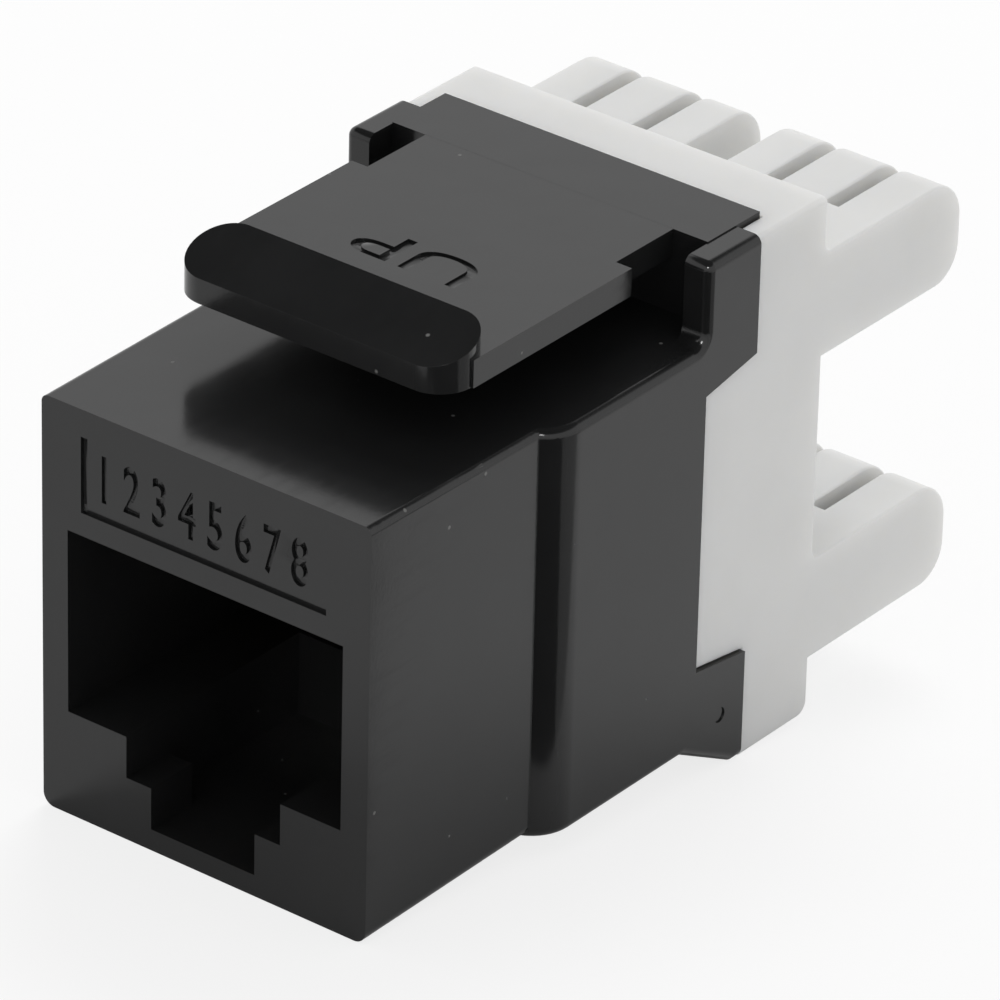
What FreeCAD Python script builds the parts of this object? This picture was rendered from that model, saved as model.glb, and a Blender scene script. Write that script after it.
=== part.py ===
import FreeCAD, Part
import math
import os
import re
import Sketcher

# Keystone jack: a black moulded housing with a plug port and a snap latch, a carrier with
# eight contact wires, a circuit board, and a white block with two rows of wire slots.
#
# Millimetres. X runs across the jack, Y from the front face (Y = 0) to the back, Z up.
# Z = 0 is the bottom edge of the front face, and X = 0 is the middle plane.

Vector = FreeCAD.Vector

# name, value, meaning: the driving dimensions, one row of the spreadsheet each
SIZES = (
    # front section, which passes through the panel
    ("front_width", 14.5, "width of the front face"),
    ("front_height", 16.35, "height of the front face, and of the flat top"),
    ("front_depth", 9.6, "length of the front section, its hidden end included"),
    ("side_draft", 0.14, "how much each side widens from the front face to the shoulder"),
    ("bottom_draft", 0.25, "how much the bottom rises from the front face to the shoulder"),
    ("front_round", 0.5, "radius of the front section's lower long edges"),
    ("crisp_round", 0.3, "radius of the front section's upper long edges"),
    ("overlap", 0.2, "how far one part of a piece reaches into the next, or a cut past its face"),
    # rear section
    ("shoulder_step", 0.85, "how far each side stands out behind the shoulder"),
    ("shoulder_start", 8.53, "front face to where the shoulder's round begins, inside the front section"),
    ("shoulder_round", 1.77, "radius of the shoulder, seen from above"),
    ("rear_bottom", 0.1, "height of the rear section's underside"),
    ("rear_end", 20.3, "front face to the housing's rear edge"),
    ("rim_round", 0.35, "radius of each side face's upper edge, up and over the ear"),
    ("lower_round", 0.4, "radius of each side face's lower edge"),
    ("ear_thickness", 1.1, "thickness of each ear"),
    ("ear_front", 17.35, "front face to the ears"),
    ("ear_top", 19.55, "height of the ears' tops"),
    ("ear_fillet", 0.6, "hollow radius where an ear rises from the top"),
    ("flare_start", 16.8, "where the bottom starts to flare down"),
    ("flare_end", 19.8, "where the flare is lowest"),
    ("flare_bottom", -1.5, "height of the flare's lowest edge"),
    # plug port
    ("port_width", 12.2, "width of the plug port"),
    ("port_top", 11.4, "height of the port's top wall"),
    ("port_bottom", 4.15, "height of the port's floor"),
    ("port_depth", 13.3, "depth of the port"),
    ("step_width", 6.9, "width of the port's upper step"),
    ("step_bottom", 2.5, "floor of the upper step"),
    ("notch_width", 4.65, "width of the tab notch"),
    ("notch_bottom", 0.85, "floor of the tab notch"),
    ("lip_thickness", 2.2, "thickness of the front lip that the plug's tab catches behind"),
    ("tab_depth", 9.4, "depth of the room for the plug's tab"),
    # inside of the housing
    ("side_wall", 1.4, "thickness of the side walls beside the rear cavity"),
    ("cavity_bottom", 1.7, "floor of the rear cavity"),
    ("cavity_top", 15.3, "roof of the rear cavity"),
    ("channel_inset", 0.8, "how much narrower than the port the channel over it is, on each side"),
    ("channel_top", 13.6, "roof of the channel over the port"),
    ("channel_front", 2.4, "front end of the channel over the port"),
    ("insert_gap", 0.1, "room on each side of a piece that slides into the housing"),
    # side windows
    ("window_front", 17.4, "front edge of the side windows"),
    ("window_bottom_front", 3.3, "lower front corner of a window"),
    ("window_bottom_rear", 2.9, "lower rear corner of a window"),
    ("window_top_front", 14.4, "upper front corner of a window"),
    ("window_top_rear", 14.95, "upper rear corner of a window"),
    ("dimple_radius", 0.3, "radius of the gate dimple near the flare"),
    ("dimple_depth", 0.06, "depth of the gate dimple"),
    ("dimple_place", 18.9, "front face to the gate dimple"),
    ("dimple_height", 0.9, "height of the gate dimple"),
    # latch
    ("latch_top", 19.6, "height of the latch's flat top"),
    ("latch_thickness", 1.08, "thickness of the latch"),
    ("nose_front", 5.3, "front face to the latch's nose"),
    ("nose_length", 2.75, "length of the thumb bar on the nose"),
    ("nose_roundness", 0.495, "radius of the thumb bar's ends as a share of its length"),
    ("nose_inset", 0.1, "how much narrower than the arm the thumb bar is, on each side"),
    ("nose_rise", 0.85, "height of the thumb bar over the latch's top"),
    ("nose_lip", 0.1, "how far the bar's front edge lies below the latch's top"),
    ("arm_inset", 1.05, "how much narrower than the front face the arm is, on each side"),
    ("neck_start", 15.4, "front face to the narrow neck"),
    ("neck_step", 0.7, "how much narrower than the arm the neck is, on each side"),
    ("root_start", 18.65, "front face to the root, where the neck flexes"),
    ("root_end", 21.65, "front face to the end of the root's lip"),
    ("neck_roundness", 0.4999, "radius of the neck's end as a share of its thickness"),
    ("hinge_gap", 0.06, "room between the neck's rounded end and the root"),
    # block with the wire slots
    ("block_inset", 0.15, "how far inside the housing's side face each side of the wire block lies"),
    ("slab_end", 24.4, "front face to the slab's rear face"),
    ("slab_drop", 0.2, "how far the slab's top lies below the latch's top"),
    ("slab_bottom", -1.5, "height of the slab's underside"),
    ("slab_round", 0.5, "radius of the slab's lower rear edge"),
    ("slab_side_round", 0.25, "radius of the slab's upper side edges"),
    ("row_fillet", 0.4, "hollow radius where a row's top meets the slab"),
    ("tower_height", 4.1, "height of each row of fins"),
    ("row_rise", 0.45, "how far the two rows' common middle lies above the middle of the rear cavity"),
    ("tower_centre", 6.17, "height from the rows' common middle to the middle of a row"),
    ("tower_base_end", 27.6, "front face to the bottom of the wire slots"),
    ("tower_end", 32.6, "front face to the tips of the fins"),
    ("tip_upper_round", 1.75, "radius of the fins' upper corners, seen from the side"),
    ("tip_lower_round", 1.35, "radius of the fins' lower corners, seen from the side"),
    ("slot_width", 0.68, "width of a wire slot"),
    ("outer_fin", 1.82, "width of the outermost fins"),
    ("slot_pitch", 2.76, "inner to outer slot"),
    ("middle_gap", 1.9, "width of the gap in the middle of a row"),
    ("middle_gap_root", 27.9, "front face to the bottom of the gap in the middle of a row"),
    ("plug_in_start", 18.2, "front end of the block's part inside the housing"),
    # blades in the wire slots
    ("blade_width", 2.2, "width of a forked blade"),
    ("blade_thickness", 0.45, "thickness of a forked blade"),
    ("blade_offset", 5.35, "height from the rows' common middle to a blade"),
    ("blade_start", 20.0, "where a blade widens"),
    ("blade_end", 30.6, "front face to the blade's tips"),
    ("fork_depth", 4.2, "depth of the fork"),
    ("fork_slit", 0.3, "width of the fork's slit"),
    ("fork_mouth", 1.1, "width of the fork's mouth"),
    ("fork_flare", 0.6, "depth of the fork's mouth"),
    ("blade_room", 0.05, "room on each side of a blade in its pocket"),
    ("tail_width", 0.6, "width of a blade's solder tail"),
    ("tail_inset", 0.1, "how far a tail stops short of the board's front"),
    # circuit board
    ("board_start", 16.65, "front face to the circuit board"),
    ("board_thickness", 1.2, "thickness of the circuit board"),
    ("wire_hole_radius", 0.3, "radius of the wires' holes in the board"),
    ("tail_hole_radius", 0.42, "radius of the blades' holes in the board"),
    # contact carrier and wires
    ("carrier_end", 16.6, "front face to the carrier's rear face"),
    ("tongue_front", 2.6, "front end of the carrier's tongue"),
    ("groove_width", 0.62, "width of a wire groove"),
    ("groove_height", 0.7, "height of a wire groove"),
    ("comb_bottom", 8.3, "lower end of the comb slots"),
    ("comb_top", 10.6, "upper end of the comb slots"),
    ("comb_depth", 1.1, "depth of the comb slots"),
    ("wire_width", 0.46, "width of a contact wire, a flat strip of spring metal"),
    ("wire_thickness", 0.32, "thickness of a contact wire"),
    ("wire_pitch", 1.02, "spacing of the contact wires"),
    ("wire_run", 11.8, "height of a wire's upper run"),
    ("knee_place", 3.6, "front face to the middle of a wire's bend"),
    ("knee_radius", 0.6, "radius of a wire's bend"),
    ("tail_reach", 0.85, "how far a wire's free end reaches into its comb slot"),
    ("wire_tail_height", 8.95, "height of a wire's free end"),
    ("wire_stub", 0.1, "how far a wire's soldered end passes the board"),
)
WIRE_COUNT = 8
ROWS = (("upper", 1), ("lower", -1))

doc = FreeCAD.newDocument("KeystoneJack")
sheet = doc.addObject("Spreadsheet::Sheet", "Dims")
for row, (alias, value, meaning) in enumerate(SIZES, start=1):
    sheet.set(f"A{row}", alias)
    sheet.set(f"B{row}", str(value))
    sheet.set(f"C{row}", meaning)
    sheet.setAlias(f"B{row}", alias)
doc.recompute()

ALIAS = re.compile(r"\b(" + "|".join(alias for alias, value, meaning in SIZES) + r")\b")


def bound(text):
    """The expression with each alias written as a cell of the sheet."""
    return ALIAS.sub(r"Dims.\1", text)


def number(text):
    """The expression's value now."""
    return float(sheet.evalExpression(bound(text)))


# --- modelling helpers ------------------------------------------------------------------

# each plane's role, and the sign that turns its normal into the row axis
PLANES = {"XY": ("XY_Plane", 1), "XZ": ("XZ_Plane", -1), "YZ": ("YZ_Plane", 1)}


def new_body(label):
    body = doc.addObject("PartDesign::Body", label)
    body.Label = label
    return body


def new_sketch(body, name, plane, level):
    """An empty sketch on one of the body's planes, moved along the row axis to level."""
    role, sign = PLANES[plane]
    sketch = body.newObject("Sketcher::SketchObject", name)
    support = [item for item in body.Origin.OriginFeatures if item.Role == role][0]
    sketch.AttachmentSupport = [(support, "")]
    sketch.MapMode = "FlatFace"
    sketch.setExpression("AttachmentOffset.Base.z", bound(f"{sign} * ({level})"))
    return sketch


def tie(sketch, axis, geometry, point, text):
    """Holds one coordinate of a sketch point, measured from the origin."""
    kind = "DistanceX" if axis == 0 else "DistanceY"
    index = sketch.addConstraint(Sketcher.Constraint(kind, -1, 1, geometry, point, number(text)))
    sketch.setExpression(f"Constraints[{index}]", bound(text))


def add_outline(sketch, corners):
    """A closed outline of straight sides through corners, each a pair of expressions."""
    start = sketch.GeometryCount
    count = len(corners)
    places = [Vector(number(x), number(y), 0) for x, y in corners]
    for index in range(count):
        side = Part.LineSegment(places[index], places[(index + 1) % count])
        sketch.addGeometry(side, False)
    for index in range(count):
        after = start + (index + 1) % count
        sketch.addConstraint(Sketcher.Constraint("Coincident", start + index, 2, after, 1))
    for index, corner in enumerate(corners):
        for axis in (0, 1):
            tie(sketch, axis, start + index, 1, corner[axis])


def add_rounded(sketch, width, low, high, low_round, high_round):
    """A closed, centred rectangle with one radius at its lower corners and one at its upper ones."""
    start = sketch.GeometryCount
    side = f"({width}) / 2"
    ring = [(f"-{side} + {low_round}", low), (f"{side} - {low_round}", low),
            (side, f"{low} + {low_round}"), (side, f"{high} - {high_round}"),
            (f"{side} - {high_round}", high), (f"-{side} + {high_round}", high),
            (f"-{side}", f"{high} - {high_round}"), (f"-{side}", f"{low} + {low_round}")]
    rounds = (low_round, high_round, high_round, low_round)
    places = [Vector(number(x), number(y), 0) for x, y in ring]
    for index, radius in enumerate(rounds):
        first, second, third = (places[(2 * index + step) % 8] for step in range(3))
        centre = Vector(second.x, third.y, 0) if index % 2 == 0 else Vector(third.x, second.y, 0)
        turn = index * math.pi / 2
        circle = Part.Circle(centre, Vector(0, 0, 1), number(radius))
        sketch.addGeometry(Part.LineSegment(first, second), False)
        sketch.addGeometry(Part.ArcOfCircle(circle, turn - math.pi / 2, turn), False)
    for index in range(8):
        after = start + (index + 1) % 8
        sketch.addConstraint(Sketcher.Constraint("Coincident", start + index, 2, after, 1))
    for index, radius in enumerate(rounds):
        arc = start + 2 * index + 1
        size = sketch.addConstraint(Sketcher.Constraint("Radius", arc, number(radius)))
        sketch.setExpression(f"Constraints[{size}]", bound(radius))
    for index, spot in enumerate(ring):
        for axis in (0, 1):
            tie(sketch, axis, start + 2 * (index // 2), 1 + index % 2, spot[axis])


def add_circle(sketch, x, y, radius):
    place = Vector(number(x), number(y), 0)
    index = sketch.addGeometry(Part.Circle(place, Vector(0, 0, 1), number(radius)), False)
    size = sketch.addConstraint(Sketcher.Constraint("Radius", index, number(radius)))
    sketch.setExpression(f"Constraints[{size}]", bound(radius))
    tie(sketch, 0, index, 3, x)
    tie(sketch, 1, index, 3, y)


def extrude(body, kind, name, sketch, plane, start, end):
    feature = body.newObject(kind, name)
    feature.Profile = sketch
    feature.setExpression("Length", bound(f"({end}) - ({start})"))
    along = PLANES[plane][1] > 0
    feature.Reversed = not along if kind == "PartDesign::Pad" else along
    doc.recompute()
    return feature


def pad(body, name, plane, outlines, start, end):
    """Adds the outlines, drawn on the plane, from start to end along its row axis."""
    sketch = new_sketch(body, f"{name}_sketch", plane, start)
    for corners in outlines:
        add_outline(sketch, corners)
    return extrude(body, "PartDesign::Pad", name, sketch, plane, start, end)


def pocket(body, name, plane, outlines, start, end, circles=()):
    """Cuts the outlines and circles out, from start to end along the plane's row axis."""
    sketch = new_sketch(body, f"{name}_sketch", plane, start)
    for corners in outlines:
        add_outline(sketch, corners)
    for x, y, radius in circles:
        add_circle(sketch, x, y, radius)
    return extrude(body, "PartDesign::Pocket", name, sketch, plane, start, end)


def rectangle(left, right, low, high):
    return ((left, low), (right, low), (right, high), (left, high))


def centred(width, low, high):
    return rectangle(f"-({width}) / 2", f"({width}) / 2", low, high)


def runs_along(edge, axis):
    """True for a straight edge along the given row axis."""
    ends = [vertex.Point for vertex in edge.Vertexes]
    if len(ends) < 2:
        return False
    step = ends[1] - ends[0]
    return edge.Length - abs(step[axis]) < 1e-4 * edge.Length


def is_at(edge, **places):
    """True for an edge whose ends lie on every given plane, such as y=\"rear_end\"."""
    for name, text in places.items():
        axis = "xyz".index(name)
        if any(abs(vertex.Point[axis] - number(text)) > 1e-3 for vertex in edge.Vertexes):
            return False
    return True


def round_edges(body, name, radius, pick):
    """Rounds the edges of the body so far that pick chooses."""
    base = body.Tip
    chosen = [f"Edge{index}" for index, edge in enumerate(base.Shape.Edges, start=1) if pick(edge)]
    if not chosen:
        raise RuntimeError(f"{name}: no edge to round")
    feature = body.newObject("PartDesign::Fillet", name)
    feature.Base = (base, chosen)
    feature.setExpression("Radius", bound(radius))
    doc.recompute()
    return feature


# --- places that several pieces share -----------------------------------------------------

side_face = "(front_width / 2 + shoulder_step)"
ear_inside = f"({side_face} - ear_thickness)"
cavity_width = f"(2 * {side_face} - 2 * side_wall)"
channel_width = "(port_width - 2 * channel_inset)"
latch_under = "(latch_top - latch_thickness)"
slab_top = "(latch_top - slab_drop)"
rows_middle = "((cavity_bottom + cavity_top) / 2 + row_rise)"
board_end = "(board_start + board_thickness)"
comb_front = "(port_depth + insert_gap / 2)"
wire_tail = f"({comb_front} + tail_reach)"
insert_width = f"({cavity_width} - 2 * insert_gap)"
insert_bottom = "(cavity_bottom + insert_gap)"
insert_top = "(cavity_top - insert_gap)"
block_side = f"({side_face} - block_inset)"
arm_side = "(front_width / 2 - arm_inset)"
slot_outer = f"({block_side} - outer_fin - slot_width / 2)"
slot_places = [f"{sign} * ({slot_outer} - {step} * slot_pitch)" for sign in (-1, 1) for step in (0, 1)]
wire_places = [f"({index} - {(WIRE_COUNT - 1) / 2}) * wire_pitch" for index in range(WIRE_COUNT)]


def row_height(offset, sign):
    return f"({rows_middle} + ({sign}) * ({offset}))"


# --- housing ------------------------------------------------------------------------------

def build_housing():
    body = new_body("housing")

    # rear section between the cheeks, with the flare under its rear end
    under = (("flare_end", "flare_bottom"), ("flare_start", "rear_bottom"),
             ("shoulder_start", "rear_bottom"))
    core = (("rear_end", "front_height"), ("rear_end", "flare_bottom")) + under
    core += (("shoulder_start", "front_height"),)
    pad(body, "rear_core", "YZ", [core], f"-{ear_inside}", ear_inside)

    # cheeks: the outer walls, which rise into the ears
    cheek = (("rear_end", "ear_top"), ("rear_end", "flare_bottom")) + under
    cheek += (("shoulder_start", "front_height"), ("ear_front", "front_height"), ("ear_front", "ear_top"))
    pad(body, "right_cheek", "YZ", [cheek], ear_inside, side_face)
    pad(body, "left_cheek", "YZ", [cheek], f"-{side_face}", f"-{ear_inside}")

    def cheek_edge(z):
        return lambda edge: runs_along(edge, 0) and is_at(edge, y="ear_front", z=z)

    def on_side(edge):
        """True for an edge of a side face or of the shoulder's round, but for the rear ones."""
        outside = all(abs(v.Point.x) > number(f"{side_face} - shoulder_round") - 1e-3 for v in edge.Vertexes)
        across = runs_along(edge, 0) or (runs_along(edge, 2) and is_at(edge, y="shoulder_start"))
        behind = is_at(edge, y="rear_end")
        smooth = runs_along(edge, 2) and is_at(edge, y="shoulder_start + shoulder_round")
        inner = is_at(edge, x=ear_inside) or is_at(edge, x=f"-{ear_inside}")
        return outside and not (across or behind or smooth or inner)

    upright = lambda edge: runs_along(edge, 2) and is_at(edge, y="shoulder_start")
    round_edges(body, "shoulder", "shoulder_round", upright)
    round_edges(body, "ear_feet", "ear_fillet", cheek_edge("front_height"))
    round_edges(body, "ear_noses", "rim_round", cheek_edge("ear_top"))
    high = number("(front_height + rear_bottom) / 2")
    round_edges(body, "upper_rims", "rim_round", lambda edge: on_side(edge) and edge.CenterOfMass.z > high)
    round_edges(body, "lower_rims", "lower_round", lambda edge: on_side(edge) and edge.CenterOfMass.z < high)

    # front section: a block with draft, from the front face back into the shoulder
    face = new_sketch(body, "front_face", "XZ", "0")
    add_rounded(face, "front_width", "0", "front_height", "front_round", "crisp_round")
    inner_end = new_sketch(body, "front_section_end", "XZ", "front_depth")
    add_rounded(inner_end, "front_width + 2 * side_draft", "bottom_draft", "front_height",
                "front_round", "crisp_round")
    front = body.newObject("PartDesign::AdditiveLoft", "front_section")
    front.Profile = face
    front.Sections = [inner_end]
    front.Ruled = True
    doc.recompute()

    # the latch's root: a bulkhead between the ears, and a lip that lies over the wire block
    pad(body, "bulkhead", "YZ",
        [rectangle("root_start", "rear_end", "front_height - overlap", "latch_top")],
        f"-{ear_inside}", ear_inside)
    pad(body, "root_lip", "YZ", [rectangle("rear_end - overlap", "root_end", latch_under, "latch_top")],
        f"-{ear_inside}", ear_inside)

    # plug port with its stepped notch, and the room behind the front lip for the plug's tab
    port = (("-port_width / 2", "port_bottom"), ("-step_width / 2", "port_bottom"),
            ("-step_width / 2", "step_bottom"), ("-notch_width / 2", "step_bottom"),
            ("-notch_width / 2", "notch_bottom"), ("notch_width / 2", "notch_bottom"),
            ("notch_width / 2", "step_bottom"), ("step_width / 2", "step_bottom"),
            ("step_width / 2", "port_bottom"), ("port_width / 2", "port_bottom"),
            ("port_width / 2", "port_top"), ("-port_width / 2", "port_top"))
    pocket(body, "port_mouth", "XZ", [port], "0", "lip_thickness")
    pocket(body, "port_room", "XZ", [centred("port_width", "port_bottom", "port_top")],
           "lip_thickness", "port_depth")
    pocket(body, "tab_room", "XZ", [centred("step_width", "notch_bottom", "port_bottom")],
           "lip_thickness", "tab_depth")

    # inside: the channel over the port, the rear cavity, and the windows for the block's wings
    pocket(body, "channel", "XZ", [centred(channel_width, "port_top - overlap", "channel_top")],
           "channel_front", "port_depth")
    pocket(body, "rear_cavity", "XZ", [centred(cavity_width, "cavity_bottom", "cavity_top")],
           "port_depth", "rear_end")
    window = (("window_front", "window_bottom_front"), ("rear_end", "window_bottom_rear"),
              ("rear_end", "window_top_rear"), ("window_front", "window_top_front"))
    pocket(body, "windows", "YZ", [window], f"-{side_face}", side_face)
    for name, start, end in (("right_dimple", f"{side_face} - dimple_depth", side_face),
                             ("left_dimple", f"-{side_face}", f"-{side_face} + dimple_depth")):
        pocket(body, name, "YZ", [], start, end, [("dimple_place", "dimple_height", "dimple_radius")])
    return body


# --- latch --------------------------------------------------------------------------------

def build_latch():
    body = new_body("latch")
    bar = rectangle(f"nose_inset - {arm_side}", f"{arm_side} - nose_inset",
                    "nose_front", "nose_front + nose_length")
    pad(body, "thumb_bar", "XY", [bar], latch_under, "latch_top + nose_rise")
    round_edges(body, "thumb_bar_ends", "nose_roundness * nose_length", lambda edge: runs_along(edge, 2))
    slope = (("nose_front", "latch_top - nose_lip"), ("nose_front + nose_length", "latch_top + nose_rise"),
             ("nose_front", "latch_top + nose_rise"))
    pocket(body, "thumb_slope", "YZ", [slope], f"-{arm_side}", arm_side)

    neck_side = f"({arm_side} - neck_step)"
    neck_end = "(root_start - hinge_gap)"
    arm_start = "(nose_front + nose_length / 2)"
    arm = ((f"-{arm_side}", arm_start), (arm_side, arm_start), (arm_side, "neck_start"),
           (neck_side, "neck_start"), (neck_side, neck_end), (f"-{neck_side}", neck_end),
           (f"-{neck_side}", "neck_start"), (f"-{arm_side}", "neck_start"))
    pad(body, "arm", "XY", [arm], latch_under, "latch_top")
    # the neck's end is a half round about the axis that the latch turns on
    at_end = lambda edge: runs_along(edge, 0) and is_at(edge, y=neck_end)
    round_edges(body, "neck_end", "latch_thickness * neck_roundness", at_end)
    return body


# --- contact carrier and contact wires ----------------------------------------------------

def build_carrier():
    body = new_body("contact_carrier")
    tongue_width = f"({channel_width} - 2 * insert_gap)"
    tongue_bottom = "(wire_run - groove_height / 2)"
    pad(body, "block", "XZ", [centred(insert_width, insert_bottom, insert_top)], comb_front, "carrier_end")
    pad(body, "tongue", "XZ", [centred(tongue_width, tongue_bottom, "channel_top - insert_gap")],
        "tongue_front", comb_front)
    grooves = []
    combs = []
    for place in wire_places:
        left = f"{place} - groove_width / 2"
        right = f"{place} + groove_width / 2"
        grooves.append(rectangle(left, right, tongue_bottom, "wire_run + groove_height / 2"))
        combs.append(rectangle(left, right, "comb_bottom", "comb_top"))
    pocket(body, "grooves", "XZ", grooves, "tongue_front", "carrier_end")
    pocket(body, "comb", "XZ", combs, comb_front, f"{comb_front} + comb_depth")
    return body


def build_wire(index):
    """A flat spring wire: a straight upper run, a bend at the front and a sloping lower run."""
    body = new_body(f"contact_wire_{index + 1}")
    path = new_sketch(body, f"wire_path_{index + 1}", "YZ", wire_places[index])
    knee = Vector(number("knee_place"), number("wire_run - knee_radius"), 0)
    radius = number("knee_radius")
    tail = Vector(number(wire_tail), number("wire_tail_height"), 0)
    start = Vector(number(f"{board_end} + wire_stub"), number("wire_run"), 0)
    # the lower run is the tangent from the tail to the bend's lower side
    reach = tail - knee
    angle = math.atan2(reach.y, reach.x) - math.acos(radius / reach.Length)
    touch = knee + Vector(radius * math.cos(angle), radius * math.sin(angle), 0)
    top = knee + Vector(0, radius, 0)
    bend = Part.ArcOfCircle(Part.Circle(knee, Vector(0, 0, 1), radius), math.pi / 2, angle + 2 * math.pi)
    path.addGeometry(Part.LineSegment(start, top), False)
    path.addGeometry(bend, False)
    path.addGeometry(Part.LineSegment(touch, tail), False)
    path.addConstraint(Sketcher.Constraint("Tangent", 0, 2, 1, 1))
    path.addConstraint(Sketcher.Constraint("Tangent", 1, 2, 2, 1))
    path.addConstraint(Sketcher.Constraint("Horizontal", 0))
    size = path.addConstraint(Sketcher.Constraint("Radius", 1, radius))
    path.setExpression(f"Constraints[{size}]", bound("knee_radius"))
    tie(path, 0, 0, 1, f"{board_end} + wire_stub")
    tie(path, 1, 0, 1, "wire_run")
    tie(path, 0, 0, 2, "knee_place")
    tie(path, 0, 2, 2, wire_tail)
    tie(path, 1, 2, 2, "wire_tail_height")

    profile = new_sketch(body, f"wire_section_{index + 1}", "XZ", f"{board_end} + wire_stub")
    add_outline(profile, rectangle(f"{wire_places[index]} - wire_width / 2",
                                   f"{wire_places[index]} + wire_width / 2",
                                   "wire_run - wire_thickness / 2", "wire_run + wire_thickness / 2"))
    pipe = body.newObject("PartDesign::AdditivePipe", f"wire_{index + 1}")
    pipe.Profile = profile
    pipe.Spine = (path, ["Edge1", "Edge2", "Edge3"])
    doc.recompute()
    return body


# --- circuit board ------------------------------------------------------------------------

def build_board():
    body = new_body("circuit_board")
    board = centred(insert_width, insert_bottom, insert_top)
    pad(body, "board", "XZ", [board], "board_start", board_end)
    holes = [(place, "wire_run", "wire_hole_radius") for place in wire_places]
    for name, sign in ROWS:
        height = row_height("blade_offset", sign)
        holes += [(place, height, "tail_hole_radius") for place in slot_places]
    pocket(body, "holes", "XZ", [], "board_start", board_end, holes)
    return body


# --- wire block and its blades ------------------------------------------------------------

def build_block():
    body = new_body("idc_block")
    pad(body, "slab", "XZ", [centred(f"(2 * {block_side})", "slab_bottom", slab_top)], "rear_end", "slab_end")
    rear = lambda edge: runs_along(edge, 0) and is_at(edge, y="slab_end", z="slab_bottom")
    sides = lambda edge: runs_along(edge, 1) and edge.Vertexes[0].Point.z > number(rows_middle)
    round_edges(body, "slab_rear_edge", "slab_round", rear)
    round_edges(body, "slab_side_edges", "slab_side_round", sides)

    # two rows of fins on a solid base, with rounded tips
    for name, sign in ROWS:
        low = f"{row_height('tower_centre', sign)} - tower_height / 2"
        high = f"{row_height('tower_centre', sign)} + tower_height / 2"
        row = rectangle("slab_end - slab_round", "tower_end", low, high)
        pad(body, f"{name}_row", "YZ", [row], f"-{block_side}", block_side)
    tops = [number(f"{row_height('tower_centre', sign)} + tower_height / 2") for name, sign in ROWS]
    tip = lambda edge: runs_along(edge, 0) and is_at(edge, y="tower_end")
    root = lambda edge: runs_along(edge, 0) and is_at(edge, y="slab_end")
    on_top = lambda edge: min(abs(edge.CenterOfMass.z - top) for top in tops) < 1e-3
    round_edges(body, "upper_tips", "tip_upper_round", lambda edge: tip(edge) and on_top(edge))
    round_edges(body, "lower_tips", "tip_lower_round", tip)
    round_edges(body, "row_roots", "row_fillet", lambda edge: root(edge) and on_top(edge))
    slots = [rectangle(f"{place} - slot_width / 2", f"{place} + slot_width / 2",
                       "tower_base_end", "tower_end") for place in slot_places]
    pocket(body, "wire_slots", "XY", slots, "slab_bottom", slab_top)
    middle = centred("middle_gap", "middle_gap_root", "tower_end")
    pocket(body, "middle_gaps", "XY", [middle], "slab_bottom", slab_top)

    # the part inside the housing, and the wings that fill the housing's windows
    pad(body, "plug_in", "XZ", [centred(insert_width, insert_bottom, insert_top)],
        "plug_in_start", "rear_end")
    room = "insert_gap / 2"
    wing = (("rear_end", f"window_bottom_rear + {room}"), ("rear_end", f"window_top_rear - {room}"),
            (f"window_front + {room}", f"window_top_front - {room}"),
            (f"window_front + {room}", f"window_bottom_front + {room}"))
    pad(body, "right_wing", "YZ", [wing], f"{insert_width} / 2", block_side)
    pad(body, "left_wing", "YZ", [wing], f"-{block_side}", f"-{insert_width} / 2")

    # the pockets for the blades, and the rebate under the root's lip
    pockets = []
    for name, sign in ROWS:
        height = row_height("blade_offset", sign)
        for place in slot_places:
            half = "(blade_width / 2 + blade_room)"
            deep = "(blade_thickness / 2 + blade_room)"
            pockets.append(rectangle(f"{place} - {half}", f"{place} + {half}",
                                     f"{height} - {deep}", f"{height} + {deep}"))
    pocket(body, "blade_pockets", "XZ", pockets, "plug_in_start", "blade_end + blade_room")
    rebate = rectangle("rear_end", f"root_end + {room}", f"{latch_under} - {room}", slab_top)
    pocket(body, "lip_rebate", "YZ", [rebate], f"-{ear_inside} - {room}", f"{ear_inside} + {room}")
    return body


def build_blade(number_from_one, place, sign):
    """A flat forked blade whose slit cuts into a wire, with a narrow solder tail."""
    body = new_body(f"idc_contact_{number_from_one}")
    low = f"{row_height('blade_offset', sign)} - blade_thickness / 2"
    high = f"{row_height('blade_offset', sign)} + blade_thickness / 2"
    # half of the outline, from the tail's tip round the fork to its slit
    half = (("tail_width / 2", "board_start + tail_inset"), ("tail_width / 2", "blade_start"),
            ("blade_width / 2", "blade_start"), ("blade_width / 2", "blade_end"),
            ("fork_mouth / 2", "blade_end"), ("fork_slit / 2", "blade_end - fork_flare"),
            ("fork_slit / 2", "blade_end - fork_depth"))
    right = [(f"{place} + {x}", y) for x, y in half]
    left = [(f"{place} - {x}", y) for x, y in reversed(half)]
    pad(body, f"blade_{number_from_one}", "XY", [right + left], low, high)
    return body


# --- build, check and write ---------------------------------------------------------------

pieces = [build_housing(), build_latch(), build_carrier(), build_board(), build_block()]
pieces += [build_wire(index) for index in range(WIRE_COUNT)]
blades = [(place, sign) for name, sign in ROWS for place in sorted(slot_places, key=number)]
pieces += [build_blade(index, place, sign) for index, (place, sign) in enumerate(blades, start=1)]
doc.recompute()

for item in doc.Objects:
    if "Invalid" in item.State or "Error" in item.State:
        raise RuntimeError(f"{item.Name} failed: {item.State}")
    if item.TypeId == "PartDesign::Pocket" and item.BaseFeature.Shape.Volume - item.Shape.Volume < 1e-4:
        raise RuntimeError(f"{item.Name} cuts nothing")
for piece in pieces:
    shape = piece.Shape
    if shape.isNull() or not shape.isValid() or len(shape.Solids) != 1:
        raise RuntimeError(f"{piece.Label} is not one valid solid")

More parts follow.
